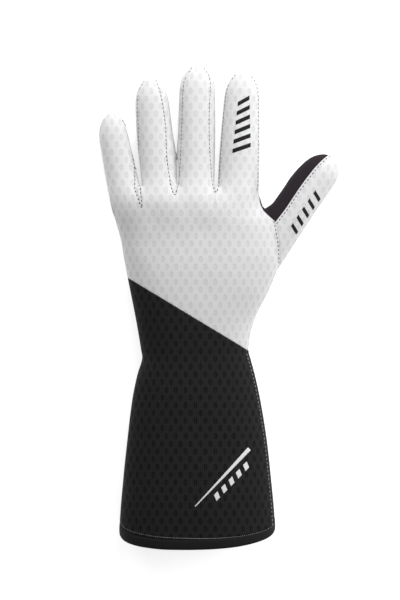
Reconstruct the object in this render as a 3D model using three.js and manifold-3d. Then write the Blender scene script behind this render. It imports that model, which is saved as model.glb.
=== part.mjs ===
// A driver's left glove with a long gauntlet cuff, lying on its palm with the back of the hand up.
// Knitted back and gauntlet, suede palm, fourchettes between the fingers, a two-part thumb and a bound hem.
// Every panel is one hollow wall, cut out of the same shell along its seams.
// Millimetres. X runs across towards the thumb, Y from the wrist to the fingertips, Z up from the table.

import * as THREE from 'three';
import { mergeVertices } from 'three/addons/utils/BufferGeometryUtils.js';
import Module from 'manifold-3d';

const wasm = await Module();
wasm.setup();

// Cloth and seams
const clothWall = 1.8; // lined knit, and lined suede
const bindingWall = 2.6; // folded tape round the cuff's mouth
const seamGap = 0.3; // left between two panels that are sewn together
const sideSeamHeight = 5.6; // of the seam between back and palm, above the table

// Cuff, from the wrist crease to the hem
const gauntletLength = 134.8; // along the back of the hand
const wristWidth = 74.4;
const wristHeight = 34;
const cuffWidth = 108.4;
const cuffHeight = 44;
const cuffShift = 1.3; // how far the mouth sits towards the thumb
const hemSlant = THREE.MathUtils.degToRad(24.5); // the mouth leans back, so the back is longer than the palm
const hemTurn = THREE.MathUtils.degToRad(1.7); // and it turns a little towards the thumb
const bindingWidth = 6.4;

// Seam between the pale hand and the dark gauntlet, which crosses the wrist on a slant
const colourSeamAngle = THREE.MathUtils.degToRad(31.1);
const colourSeamRise = 25.4; // above the wrist crease, on the centre line

// Hand, from the wrist crease to the finger crotches
const palmLength = 115.5;
const palmReachLittle = 60.9; // centre line to the little-finger edge
const palmReachThumb = 59.2; // centre line to the ball of the thumb
const knuckleReachIndex = 45.2; // centre line to the forefinger edge
const handHeight = 35;
const knuckleHeight = 27.5;

// Fingers. Their roots overlap the hand by fingerOverlap below the crotches.
const fingerOverlap = 10.5;
const fingertipLength = 18; // the rounded end
const fingertipHeightShare = 0.62; // of the height at the root
const taperPower = 1.8; // fingers stay full and narrow late
const rootSlim = 0.93; // of a finger's width where it starts, inside the hand
const rootedShare = 0.16; // of a finger's reach, over which it fills out
const fingertipOpening = 6; // half the width of the back panel where it runs over a fingertip
const fingerReach = 98.4; // of the middle finger, from inside the hand to its tip
const fingerHeight = 28; // of the middle finger at its root
const wallShow = 4.6; // side wall that shows outside the stitching, on the ring finger
// across, width: shares of the knuckle width. reach, height: shares of the middle finger's.
// lean: degrees towards the little finger. slim: tip width over root width.
// left, right: shares of wallShow that each side shows, seen from above.
const fingers = [
  { across: 0.125, width: 0.222, reach: 0.67, lean: 10.8, slim: 0.88, height: 0.85, left: 0, right: 0.5 },
  { across: 0.342, width: 0.26, reach: 0.914, lean: 4.6, slim: 0.79, height: 0.957, left: 0.48, right: 1 },
  { across: 0.5745, width: 0.251, reach: 1, lean: -0.9, slim: 0.93, height: 1, left: 0.565, right: 0.85 },
  { across: 0.852, width: 0.278, reach: 0.961, lean: -2.5, slim: 0.77, height: 0.979, left: 0.48, right: 0 },
];
// The gaps between the fingers. slit: a share of slitWidth at the crotch. opens: degrees that it widens by.
// lean: degrees towards the little finger. shift: of the crotch to the thumb, a share of the knuckle width.
// depth, sway: of the stitching's fork, below the crotch and to its thumb side, as shares of forkDepth.
const slitWidth = 2.6;
const forkDepth = 13.5;
const forks = [
  { name: 'fourchette_little_ring', slit: 0.6, opens: 6, lean: 9.6, shift: 0.008, depth: 1, sway: 0.12 },
  { name: 'fourchette_ring_middle', slit: 0.35, opens: 0, lean: 1.8, shift: 0, depth: 0.33, sway: -0.1 },
  { name: 'fourchette_middle_index', slit: 1, opens: 1, lean: -1.7, shift: 0, depth: 0.185, sway: 0 },
];
const slitLength = 52;
const forkWidth = 1.6; // of a fourchette's blunt lower end
const crotchRise = 1; // of the finger crotches above the end of the palm

// Thumb
const thumbLean = -32.8;
const thumbReach = 99;
const thumbWidth = 28.4;
const thumbSlim = 0.92;
const thumbHeight = 25;
const thumbtipHeightShare = 0.71;
const thumbtipLength = 17;
const thumbtipShift = 3.2; // the tip turns outwards
const thumbRootAcross = 39.8;
const thumbRootUp = palmLength * 0.5;
const thumbSeamOffset = 5.3; // of the knit's edge from the thumb's centre line, towards the forefinger
const thumbSeamOffsetAtTip = 2.8;
const thumbSeamBulge = 0.9; // of the arc where the thumb is set into the hand

// The web between forefinger and thumb: the crotch itself, and where the two knit panels meet behind it.
// Like the thumb's root, they keep their place along the palm.
const crotchAcross = 48.4;
const crotchUp = palmLength * 0.885;
const webAcross = 55.9;
const webUp = palmLength * 0.806;
const webShow = 2.2; // suede that shows beside the forefinger's root
const webShowLength = 8;
const thumbSeamEndAcross = 59.3;
const thumbSeamEndUp = palmLength * 0.528;

// Sections of the palm: shares of palmLength, and of the growth in reach and height from the wrist.
// A height below 0 is a share of the drop to the knuckles.
const palmRows = [
  { up: 0.03, little: 0.04, thumb: 0.0, height: 0.0 },
  { up: 0.212, little: 0.19, thumb: 0.19, height: 0.45 },
  { up: 0.394, little: 0.365, thumb: 0.66, height: 0.85 },
  { up: 0.576, little: 0.542, thumb: 1.0, height: 1.0 },
  { up: 0.697, little: 0.64, thumb: 0.97, height: 0.95 },
  { up: 0.806, little: 0.79, thumb: 0.84, height: 0.65 },
  { up: 0.879, little: 0.9, thumb: 0.51, height: 0.15 },
  { up: 0.96, little: 0.985, thumb: 0.36, height: -0.5 },
  { up: 1.01, little: 1.0, thumb: 0.33, height: -0.88 },
  { up: 1.03, little: 0.97, thumb: 0.3, height: -1.05 },
];
// Sections of the gauntlet: shares of gauntletLength, and of the growth in width and height from the wrist.
const gauntletRows = [
  { down: 1.2, little: 1.02, thumb: 1.02, height: 1.05 },
  { down: 0.86, little: 1.0, thumb: 1.0, height: 0.97 },
  { down: 0.64, little: 0.85, thumb: 0.86, height: 0.75 },
  { down: 0.43, little: 0.66, thumb: 0.69, height: 0.5 },
  { down: 0.23, little: 0.45, thumb: 0.45, height: 0.28 },
  { down: 0.1, little: 0.22, thumb: 0.24, height: 0.1 },
  { down: 0.02, little: 0.01, thumb: 0.08, height: 0.0 },
];

// A section's shape: its widest level as a share of its height, how flat it lies, how square its corners are
const widestLevel = 0.4;
const undersideSink = 0.4;
const roundness = 0.87;
const bodySides = 24;
const fingerSides = 16;
const fingerRings = 9;
const bluntTip = 0.16; // width left at the very end of a fingertip, as a share

const mix = THREE.MathUtils.lerp;
const margin = 30; // how far cutting prisms run past the glove
const tallest = cuffHeight + margin;
const straightness = 1e-4; // a corner that turns less than this is no corner

// A closed three.js mesh as a solid that can be joined and cut
function solidFrom(geometry) {
  const bare = geometry.index ? geometry.toNonIndexed() : geometry.clone();
  bare.deleteAttribute('normal');
  bare.deleteAttribute('uv');
  const merged = mergeVertices(bare, 1e-4);
  const triVerts = new Uint32Array(merged.index.array);
  return new wasm.Manifold(
    new wasm.Mesh({ numProp: 3, vertProperties: merged.attributes.position.array, triVerts }),
  );
}

// A solid back as a three.js mesh's geometry
function geometryFrom(solid) {
  const { vertProperties, triVerts } = solid.getMesh();
  const geometry = new THREE.BufferGeometry();
  geometry.setAttribute('position', new THREE.BufferAttribute(vertProperties, 3));
  geometry.setIndex(new THREE.BufferAttribute(triVerts, 1));
  geometry.computeVertexNormals();
  return geometry;
}

const joined = (solids) => solids.reduce((all, solid) => all.add(solid));

// A tube bent into shape: sectionAt(share) gives each ring's centre, reach, height and level on the table.
function tube(sides, rings, sectionAt) {
  const geometry = new THREE.CylinderGeometry(1, 1, 1, sides, rings);
  const position = geometry.attributes.position;
  for (let i = 0; i < position.count; i++) {
    const across = position.getX(i);
    const lift = position.getZ(i);
    const section = sectionAt(position.getY(i) + 0.5);
    const bulge = (value) => Math.sign(value) * Math.abs(value) ** roundness;
    const depth = lift > 0 ? section.rise : section.drop;
    const side = bulge(across) * section.half;
    const z = Math.max(section.floor, section.level + bulge(lift) * depth);
    position.setXYZ(
      i,
      section.x + side * section.crossX,
      section.y + side * section.crossY,
      z,
    );
  }
  return solidFrom(geometry);
}

// A ring's measures, taken in by the wall for the inside of the glove. round closes it towards a tip.
function section(centre, half, top, inset, round = 1, angle = 0) {
  const level = top * widestLevel;
  return {
    x: centre.x,
    y: centre.y,
    half: (half - inset) * round,
    level,
    rise: (top - level - inset) * round,
    drop: (level * (1 + undersideSink) - inset) * round,
    floor: inset,
    crossX: Math.cos(angle),
    crossY: Math.sin(angle),
  };
}

// The hand and gauntlet as one tube through both tables
const bodyStations = [
  ...gauntletRows.map((row) => ({
    y: -row.down * gauntletLength,
    left: -mix(wristWidth / 2, cuffWidth / 2 - cuffShift, row.little),
    right: mix(wristWidth / 2, cuffWidth / 2 + cuffShift, row.thumb),
    top: mix(wristHeight, cuffHeight, row.height),
  })),
  ...palmRows.map((row) => ({
    y: row.up * palmLength,
    left: -mix(wristWidth / 2, palmReachLittle, row.little),
    right: mix(wristWidth / 2, palmReachThumb, row.thumb),
    top: row.height >= 0
      ? mix(wristHeight, handHeight, row.height)
      : mix(wristHeight, knuckleHeight, -row.height),
  })),
];

function body(inset) {
  const last = bodyStations.length - 1;
  return tube(bodySides, last, (share) => {
    const index = Math.round(share * last);
    const station = bodyStations[index];
    const endInset = index === last ? -inset : index === 0 ? -margin * Math.sign(inset) : 0;
    const centre = new THREE.Vector2((station.left + station.right) / 2, station.y + endInset);
    return section(centre, (station.right - station.left) / 2, station.top, inset);
  });
}

// A digit's centre line, widths and heights at a share of its reach
const knuckleWidth = palmReachLittle + knuckleReachIndex;
const digitOf = (finger) => ({
  rootX: finger.across * knuckleWidth - palmReachLittle,
  rootY: palmLength - fingerOverlap,
  reach: finger.reach * fingerReach,
  lean: finger.lean,
  width: finger.width * knuckleWidth,
  slim: finger.slim,
  height: finger.height * fingerHeight,
  tipHeight: fingertipHeightShare,
  tipLength: fingertipLength,
  tipShift: 0,
});
const thumb = {
  rootX: thumbRootAcross,
  rootY: thumbRootUp,
  reach: thumbReach,
  lean: thumbLean,
  width: thumbWidth,
  slim: thumbSlim,
  height: thumbHeight,
  tipHeight: thumbtipHeightShare,
  tipLength: thumbtipLength,
  tipShift: thumbtipShift,
};

// How far a digit has closed when this much is left of its length
const roundEnd = (left, length) => {
  const run = THREE.MathUtils.clamp(1 - left / length, 0, 1);
  return Math.max(bluntTip, Math.sqrt(1 - run ** 2));
};

// The point at a share of a digit's reach, offset across it towards the thumb
function pointOn(digit, share, offset) {
  const lean = THREE.MathUtils.degToRad(digit.lean);
  const along = digit.reach * share;
  const across = offset + digit.tipShift * share ** 3;
  return new THREE.Vector2(
    digit.rootX - Math.sin(lean) * along + Math.cos(lean) * across,
    digit.rootY + Math.cos(lean) * along + Math.sin(lean) * across,
  );
}

// Half of a digit's width, without its rounded end. It narrows to the tip, and a little inside the hand.
function fullHalfWidth(digit, share) {
  const rooted = mix(rootSlim, 1, Math.min(share / rootedShare, 1));
  return (digit.width / 2) * mix(1, digit.slim, share ** taperPower) * rooted;
}
const halfWidthOf = (digit, share) =>
  fullHalfWidth(digit, share) * roundEnd(digit.reach * (1 - share), digit.tipLength);

function digitTube(digit, inset) {
  const end = 1 - inset / digit.reach;
  return tube(fingerSides, fingerRings, (ring) => {
    const share = Math.sin((ring * Math.PI) / 2) * end;
    const round = roundEnd(digit.reach * (end - share), digit.tipLength - inset);
    const top = digit.height * mix(1, digit.tipHeight, share);
    const angle = THREE.MathUtils.degToRad(digit.lean);
    return section(pointOn(digit, share, 0), fullHalfWidth(digit, share), top, inset, round, angle);
  });
}

// A plate of any outline, standing from one height to another. Points on a straight run are left out of it.
function prism(outline, from = -margin, to = tallest) {
  const corners = outline.filter((point, i) => {
    const before = outline.at(i - 1);
    const ahead = outline[(i + 1) % outline.length].clone().sub(before);
    return Math.abs(ahead.cross(point.clone().sub(before))) > straightness;
  });
  const plate = new THREE.ExtrudeGeometry(new THREE.Shape(corners), {
    depth: to - from,
    bevelEnabled: false,
  });
  return solidFrom(plate.translate(0, 0, from));
}

// The thin curtain that is taken out along a seam, so that its two panels don't touch
function seamCurtain(line) {
  const pieces = line.slice(1).map((point, i) => {
    const run = point.clone().sub(line[i]);
    const box = new THREE.BoxGeometry(run.length() + seamGap, seamGap, tallest * 2);
    const centre = point.clone().add(line[i]).multiplyScalar(0.5);
    return solidFrom(box.rotateZ(run.angle()).translate(centre.x, centre.y, 0));
  });
  return joined(pieces);
}

// Everything on the cuff's side of a slanting plane through (0, y), seen from above
function cuffSide(y) {
  const reach = gauntletLength * 2;
  const box = new THREE.BoxGeometry(reach * 2, reach * 2, tallest * 2);
  box.translate(0, -reach, 0).rotateZ(-colourSeamAngle).translate(0, y, 0);
  return solidFrom(box);
}

// Everything beyond a plane that leans back by the hem's slant, at a distance up from the hem
function hemSide(up) {
  const reach = gauntletLength * 2;
  const box = new THREE.BoxGeometry(reach * 2, reach, reach * 2);
  box.translate(0, -reach / 2 + up, 0).rotateX(hemSlant).rotateZ(hemTurn);
  box.translate(0, -gauntletLength, cuffHeight);
  return solidFrom(box);
}

// The slits that part the fingers, which open towards the tips and are wider for the inside of the glove
const digits = fingers.map(digitOf);
const fingerCrotchUp = palmLength + crotchRise;
const gaps = forks.map((fork, i) => {
  const [leftDigit, rightDigit] = [digits[i], digits[i + 1]];
  const share = fingerOverlap / leftDigit.reach;
  const leftEdge = pointOn(leftDigit, share, halfWidthOf(leftDigit, share));
  const rightEdge = pointOn(rightDigit, share, -halfWidthOf(rightDigit, share));
  const across = (leftEdge.x + rightEdge.x) / 2 + fork.shift * knuckleWidth;
  return {
    half: (fork.slit * slitWidth) / 2,
    spread: slitLength * Math.tan(THREE.MathUtils.degToRad(fork.opens) / 2),
    lean: THREE.MathUtils.degToRad(fork.lean),
    crotch: new THREE.Vector2(across, fingerCrotchUp),
    fork: new THREE.Vector2(across + fork.sway * forkDepth, fingerCrotchUp - fork.depth * forkDepth),
  };
});

function slit(gap, inset) {
  const foot = gap.half + inset;
  const head = foot + gap.spread;
  const corners = [
    [-foot, -inset],
    [foot, -inset],
    [head, slitLength],
    [-head, slitLength],
  ];
  const origin = new THREE.Vector2();
  const place = ([x, y]) => new THREE.Vector2(x, y).rotateAround(origin, gap.lean).add(gap.crotch);
  return prism(corners.map(place));
}

function gloveForm(inset) {
  const tubes = [...digits, thumb].map((digit) => digitTube(digit, inset));
  const form = joined([body(inset), ...tubes]);
  return gaps.reduce((cut, gap) => cut.subtract(slit(gap, inset)), form);
}

// A seam along one side of a finger: just inside the outline, and off the end of the fingertip
const seamShares = [1.15, 1, 0.97, 0.92, 0.84, 0.6, 0.35, 0.14];
function fingerSeam(digit, side, show) {
  return seamShares.map((share) => {
    const inside = halfWidthOf(digit, Math.min(share, 1)) - show;
    return pointOn(digit, share, side * Math.max(inside, fingertipOpening));
  });
}

// The outline of each fourchette, from one fingertip down to its fork and up to the next fingertip
function forkLine(gap, i) {
  const down = fingerSeam(digits[i], 1, fingers[i].right * wallShow);
  const up = fingerSeam(digits[i + 1], -1, fingers[i + 1].left * wallShow).reverse();
  const ends = [-1, 1].map((side) => gap.fork.clone().setX(gap.fork.x + (side * forkWidth) / 2));
  return [...down, ...ends, ...up];
}

// The arc that sets the thumb into the hand, from the web down to the edge of the hand
function thumbSeam() {
  const start = new THREE.Vector2(webAcross, webUp);
  const end = new THREE.Vector2(thumbSeamEndAcross, thumbSeamEndUp);
  const middle = start.clone().add(end).multiplyScalar(0.5);
  const along = end.clone().sub(start).normalize();
  const out = new THREE.Vector2(-along.y, along.x);
  const arc = new THREE.QuadraticBezierCurve(
    start,
    middle.addScaledVector(out, thumbSeamBulge * 2),
    end,
  );
  return arc.getPoints(6);
}

// Seen from above: everything that belongs to the thumb, and the part of it that is suede
const crotchPoint = new THREE.Vector2(crotchAcross, crotchUp);
const gapAbove = new THREE.Vector2(crotchAcross + margin / 2, palmLength + margin);
const rightOf = (y) => new THREE.Vector2(palmReachThumb + thumbReach, y);
const thumbLine = [
  gapAbove,
  crotchPoint,
  ...thumbSeam(),
  new THREE.Vector2(palmReachThumb + margin, thumbSeamEndUp - margin),
];
const thumbOutline = [
  ...thumbLine,
  rightOf(thumbSeamEndUp - margin),
  rightOf(palmLength * 2),
  gapAbove.clone().setY(palmLength * 2),
];
const suedeLine = [
  new THREE.Vector2(webAcross, webUp),
  pointOn(thumb, 0.5, -thumbSeamOffset),
  pointOn(thumb, 0.8, -thumbSeamOffset),
  pointOn(thumb, 1, -thumbSeamOffsetAtTip),
  pointOn(thumb, 1.2, 0),
];
const suedeOutline = [
  new THREE.Vector2(webAcross - seamGap, webUp - seamGap),
  ...suedeLine.slice(1),
  gapAbove.clone().setY(palmLength * 2),
  gapAbove,
  crotchPoint.clone().setX(crotchAcross - margin),
];
// The sliver of palm suede that rises beside the forefinger's root
const webLine = [
  new THREE.Vector2(knuckleReachIndex + webShow, crotchUp + webShowLength + margin / 4),
  new THREE.Vector2(knuckleReachIndex - webShow, crotchUp + webShowLength),
  new THREE.Vector2(crotchAcross - webShow, crotchUp),
  new THREE.Vector2(webAcross, webUp),
];
const webOutline = [...webLine, gapAbove];

// The masks that the panels are cut with. The back stops just above the side seam, the palm just below it.
const everywhere = new THREE.Vector2(margin * 20, margin * 20);
const slab = (from, to) => {
  const box = new THREE.BoxGeometry(everywhere.x, everywhere.y, to - from);
  return solidFrom(box.translate(0, 0, (from + to) / 2));
};
const upper = slab(sideSeamHeight + seamGap / 2, tallest);
const lower = slab(-margin, sideSeamHeight - seamGap / 2);
const forkLines = gaps.map(forkLine);
const forkPlates = forkLines.map((line) => prism(line));
const forkCurtains = forkLines.map((line) => seamCurtain(line));
const thumbPlate = prism(thumbOutline);
const thumbCurtain = seamCurtain(thumbLine);
const webPlate = prism(webOutline);
const webCurtain = seamCurtain(webLine);
const suedePlate = prism(suedeOutline);
const suedeCurtain = seamCurtain(suedeLine);

const outside = gloveForm(0);
const shell = outside.subtract(gloveForm(clothWall));
const handShell = shell.subtract(cuffSide(colourSeamRise + seamGap / 2));

const backPanel = handShell
  .intersect(upper)
  .subtract(joined([thumbPlate, webPlate, thumbCurtain, webCurtain, ...forkPlates, ...forkCurtains]));
const fourchettes = forkPlates.map((plate, i) =>
  handShell.intersect(upper).intersect(plate).subtract(forkCurtains[i]),
);
const palmPanel = handShell
  .intersect(lower.add(webPlate.subtract(webCurtain)))
  .subtract(thumbPlate.add(thumbCurtain));
const thumbShell = handShell.intersect(thumbPlate).subtract(thumbCurtain);
const thumbBack = thumbShell.intersect(upper).subtract(suedePlate.add(suedeCurtain));
const thumbPalm = thumbShell.intersect(lower.add(suedePlate.subtract(suedeCurtain)));

const cuffShell = shell.intersect(cuffSide(colourSeamRise - seamGap / 2));
const gauntlet = cuffShell.subtract(hemSide(bindingWidth + seamGap / 2));
const cuffBinding = outside
  .subtract(gloveForm(bindingWall))
  .intersect(hemSide(bindingWidth - seamGap / 2))
  .subtract(hemSide(0));

// Colours and finishes of the real cloths
const whiteKnit = { color: 0xe9e9ea, roughness: 0.85, metalness: 0 };
const blackKnit = { color: 0x1b1b1c, roughness: 0.8, metalness: 0 };
const suede = { color: 0x2d272d, roughness: 0.95, metalness: 0 };
const tape = { color: 0x232324, roughness: 0.75, metalness: 0 };

const panels = [
  { name: 'back_panel', solid: backPanel, finish: whiteKnit },
  ...forks.map((fork, i) => ({ name: fork.name, solid: fourchettes[i], finish: whiteKnit })),
  { name: 'thumb_back', solid: thumbBack, finish: whiteKnit },
  { name: 'palm_panel', solid: palmPanel, finish: suede },
  { name: 'thumb_palm', solid: thumbPalm, finish: suede },
  { name: 'gauntlet', solid: gauntlet, finish: blackKnit },
  { name: 'cuff_binding', solid: cuffBinding, finish: tape },
];

const glove = new THREE.Group();
for (const panel of panels) {
  const mesh = new THREE.Mesh(geometryFrom(panel.solid), new THREE.MeshStandardMaterial(panel.finish));
  mesh.name = panel.name;
  glove.add(mesh);
}

// The origin is on the table, under the middle of the whole glove.
const bounds = new THREE.Box3().setFromObject(glove);
const middle = bounds.getCenter(new THREE.Vector3());
glove.position.set(-middle.x, -middle.y, -bounds.min.z);

export default glove;
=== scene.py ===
"""A driver's left glove with a long gauntlet, lying on its palm: knit, suede, seams, stitches, prints."""

import math
from functools import partial

import bmesh
import bpy
from mathutils import Matrix, Vector, noise
from mathutils.bvhtree import BVHTree
from mathutils.kdtree import KDTree


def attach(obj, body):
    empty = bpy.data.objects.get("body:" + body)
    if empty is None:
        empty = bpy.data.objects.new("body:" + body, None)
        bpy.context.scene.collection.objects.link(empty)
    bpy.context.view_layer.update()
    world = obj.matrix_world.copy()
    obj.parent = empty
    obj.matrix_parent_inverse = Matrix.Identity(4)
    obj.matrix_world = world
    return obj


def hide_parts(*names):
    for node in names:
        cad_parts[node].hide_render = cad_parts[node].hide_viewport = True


bl_info = {
    "name": "Gauntlet Glove",
    "version": (1, 0, 0),
    "blender": (4, 5, 0),
    "location": "View3D > Sidebar > Glove",
    "description": "Dresses a long gauntlet glove with knit, suede, seams, stitches and prints",
    "category": "Add Mesh",
}

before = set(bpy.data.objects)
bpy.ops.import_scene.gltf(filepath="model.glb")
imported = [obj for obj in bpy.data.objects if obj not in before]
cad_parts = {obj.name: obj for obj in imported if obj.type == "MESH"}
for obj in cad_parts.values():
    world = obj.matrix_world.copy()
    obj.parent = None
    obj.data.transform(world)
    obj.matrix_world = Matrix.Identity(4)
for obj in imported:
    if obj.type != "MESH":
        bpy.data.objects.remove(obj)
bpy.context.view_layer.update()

# All shapes are worked out in millimetres from the middle of the wrist crease: X towards the thumb,
# Y towards the fingertips, Z up. A finished mesh is moved and scaled into the frame, whose origin is MIDDLE.
MIDDLE = Vector((16.58, 34.2519, 0))
MM = 0.001

# Cuff, wrist and hand
GAUNTLET_LENGTH = 134.8
WRIST_WIDTH = 74.4
WRIST_HEIGHT = 34
CUFF_WIDTH = 108.4
CUFF_HEIGHT = 44
CUFF_SHIFT = 1.3
HEM_SLANT = math.radians(24.5)
HEM_TURN = math.radians(1.7)
BINDING_WIDTH = 6.4
COLOUR_SEAM_ANGLE = math.radians(31.1)
COLOUR_SEAM_RISE = 25.4
PALM_LENGTH = 115.5
PALM_REACH_LITTLE = 60.9
PALM_REACH_THUMB = 59.2
KNUCKLE_REACH_INDEX = 45.2
KNUCKLE_WIDTH = PALM_REACH_LITTLE + KNUCKLE_REACH_INDEX
HAND_HEIGHT = 35
KNUCKLE_HEIGHT = 27.5
SIDE_SEAM_HEIGHT = 5.6

# Sections of the hand and gauntlet: the place, as a share of the palm's length or, where it is below zero, of
# the gauntlet's, then shares of the growth from the wrist's width and height
BODY_SHARES = [
    # place, little side, thumb side, height
    (-1.2, 1.02, 1.02, 1.05),
    (-0.86, 1.0, 1.0, 0.97),
    (-0.64, 0.85, 0.86, 0.75),
    (-0.43, 0.66, 0.69, 0.5),
    (-0.23, 0.45, 0.45, 0.28),
    (-0.1, 0.22, 0.24, 0.1),
    (-0.02, 0.01, 0.08, 0.0),
    (0.03, 0.04, 0.0, 0.0),
    (0.212, 0.19, 0.19, 0.45),
    (0.394, 0.365, 0.66, 0.85),
    (0.576, 0.542, 1.0, 1.0),
    (0.697, 0.64, 0.97, 0.95),
    (0.806, 0.79, 0.84, 0.65),
    (0.879, 0.9, 0.51, 0.15),
    (0.96, 0.985, 0.36, -0.5),
    (1.0, 1.0, 0.33, -0.85),
    (1.015, 0.98, 0.3, -1.2),
]
BODY_ROWS = [(place * (GAUNTLET_LENGTH if place < 0 else PALM_LENGTH), *shape)
             for place, *shape in BODY_SHARES]

# Digits. The first four are the fingers, whose roots overlap the hand. The lean is in degrees towards the
# little finger.
FINGER_OVERLAP = 10.5
FINGER_REACH = 98.4
FINGER_HEIGHT = 28


def finger(across, width, reach, lean, slim, height):
    return dict(across=across * KNUCKLE_WIDTH - PALM_REACH_LITTLE, up=PALM_LENGTH - FINGER_OVERLAP,
                width=width * KNUCKLE_WIDTH, reach=reach * FINGER_REACH, height=height * FINGER_HEIGHT,
                lean=lean, slim=slim, tip=18, tip_height=0.62, shift=0)


DIGITS = {
    "little": finger(0.125, 0.222, 0.67, 10.8, 0.88, 0.85),
    "ring": finger(0.342, 0.26, 0.914, 4.6, 0.79, 0.957),
    "middle": finger(0.5745, 0.251, 1, -0.9, 0.93, 1),
    "index": finger(0.852, 0.278, 0.961, -2.5, 0.77, 0.979),
    "thumb": dict(across=39.8, up=0.5 * PALM_LENGTH, width=28.4, reach=99, height=25,
                  lean=-32.8, slim=0.92, tip=17, tip_height=0.71, shift=3.2),
}
FINGERS = ["little", "ring", "middle", "index"]
# Gaps between the fingers. slit: width at the crotch. opens, lean: degrees. shift, sway: of the crotch and of
# the seams' fork below it, towards the thumb. depth, foot: depth and width of the fork. left, right: how far
# inside the finger's edge the seam runs at each of SHOW_SHARES of its reach.
SHOW_SHARES = (0.15, 0.36, 0.6, 0.84, 0.93)
FORKS = [
    dict(node="fourchette_little_ring", digits=("little", "ring"), slit=1.6, opens=6, lean=9.6, shift=0.85,
         depth=13.4, sway=0.5, foot=0.5, left=(4.4, 1.6, 0.9, 0.5, 0.3), right=(0.5, 0.7, 1.3, 1.2, 1.0)),
    dict(node="fourchette_ring_middle", digits=("ring", "middle"), slit=0.9, opens=0, lean=1.8, shift=0,
         depth=4.4, sway=-2.2, foot=1.2, left=(5.1, 6.0, 4.3, 4.5, 3.4), right=(1.2, 2.0, 2.3, 2.3, 2.3)),
    dict(node="fourchette_middle_index", digits=("middle", "index"), slit=2.6, opens=1, lean=-1.7, shift=0,
         depth=2.4, sway=0, foot=1.6, left=(1.5, 3.4, 4.2, 3.2, 1.9), right=(0.7, 0.6, 0.5, 0.6, 1.0)),
]
WIDEST_CUT = 2.1
CROTCH = PALM_LENGTH + 1
TAPER_POWER = 1.8
ROOT_SLIM = 0.93
ROOTED_SHARE = 0.16
WIDEST_LEVEL = 0.4
UNDERSIDE_SINK = 0.4
ROUNDNESS = 0.87
BLUNT_TIP = 0.05

# Seams of the thumb and its web, in plan
WEB = Vector((55.9, 0.806 * PALM_LENGTH))
CROTCH_OF_THUMB = Vector((48.4, 0.885 * PALM_LENGTH))
THUMB_SEAM_END = Vector((59.3, 0.528 * PALM_LENGTH))
THUMB_SEAM_BULGE = 0.9
# The knit's edge on the thumb: a share of its reach, and how far from its centre line towards the forefinger
THUMB_SEAM_ROWS = [(0.5, 5.1), (0.58, 5.2), (0.67, 5.4), (0.75, 5.4), (0.84, 5.2), (0.9, 4.7), (0.95, 4.0),
                   (1.0, 2.8), (1.2, -2)]
WEB_SHOW = 1.4
WEB_SHOW_LENGTH = 10
# Shares of a finger's reach where its side seams have a point, and how near its centre line they may come
SEAM_SHARES = [1.15, 1, 0.985, 0.96, 0.92, 0.87, 0.8, 0.7, 0.6, 0.48, 0.36, 0.25, 0.15]
SEAM_CLEARANCE = 4.0
# How near a seam's line the faces are that it may cut
CUT_REACH = 1.6

# How much fuller the thumb's inner side is than an even taper: a share of its reach, and by how much
THUMB_FILL_ROWS = [(0.3, 0.0), (0.4, 0.4), (0.53, 0.7), (0.63, 0.8), (0.71, 1.2), (0.79, 0.8), (0.87, 0.0),
                   (1.0, 0.0)]
THUMB_FILL_WIDTH = 20
# The web's corner is drawn up from here by this much, and less so the further from it
WEB_CORNER = Vector((50.0, 99.4, 0))
WEB_RISE = Vector((-0.9, 2.7, 0))
WEB_RISE_REACH = 5.5

# The hollow behind the knuckles and the soft dents between them: where, how wide and long, and how deep
DENTS = [
    dict(across=-12, up=84, wide=34, long=17, depth=2.6),
    dict(across=-30, up=97, wide=7, long=9, depth=0.7),
    dict(across=-5, up=101, wide=7, long=8, depth=0.7),
    dict(across=7, up=86, wide=9, long=8, depth=0.6),
]
KNUCKLE_RIDGE = dict(up=112, long=12, height=1.7)
# Uneven lie of the cloth: how far apart the swells are, and how high
SWELLS = [(34, 0.7), (13, 0.22)]

# Where the fingers' tops run into the hand: how low the cloth is moved, how far to each side of the
# crotches, how far towards the thumb, and the rounds of smoothing there and all over
ROOT_LOWEST = 8
ROOT_REACH = 24
ROOT_THUMB_SIDE = 46
ROOT_ROUNDS = 14
SKIN_ROUNDS = 6

# Above everything, where rays that look for the glove's top start
RAY_START = 80
# The flat cloth: how wide a rounded side is, how much the cloth gains there, and how far down that starts
SIDE_WIDTH = 6
SIDE_GAIN = 0.57
SIDE_START = 0.8

KNIT_PANELS = ["back_panel", "fourchette_little_ring", "fourchette_ring_middle", "fourchette_middle_index",
               "thumb_back"]
SUEDE_PANELS = ["palm_panel", "thumb_palm"]
PANELS = KNIT_PANELS + SUEDE_PANELS + ["gauntlet", "cuff_binding"]

# Stitches: where the row up the gauntlet's side starts, how many go round the hem, and their half sizes there
SIDE_ROW_START = -118
HEM_STITCHES = 220
HEM_STITCH = (0.45, 0.2)

# The stage, in metres: each light's place, width and watts, what they aim at, and what the picture shows
LIGHTS = [
    dict(name="right", place=(0.8, 0.1, 0.5), width=0.5, power=3.8),
    dict(name="left", place=(-0.5, 0.6, 0.4), width=0.5, power=1.65),
    dict(name="above_fingers", place=(0.1, 0.45, 0.35), width=0.4, power=1.75),
]
LIGHT_AIM = Vector((0, 0.02, 0))
WORLD_STRENGTH = 0.27
FLOOR_GLOW = 0.7
FLOOR_DROP = 0.0002
VIEW_HEIGHT = 0.42
VIEW_CENTRE = (-0.0134, 0.0042, 0.016)


def mix(a, b, share):
    return a + (b - a) * share


def clamp(value, low=0.0, high=1.0):
    return max(low, min(high, value))


def smoothstep(value):
    value = clamp(value)
    return value * value * (3 - 2 * value)


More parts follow.
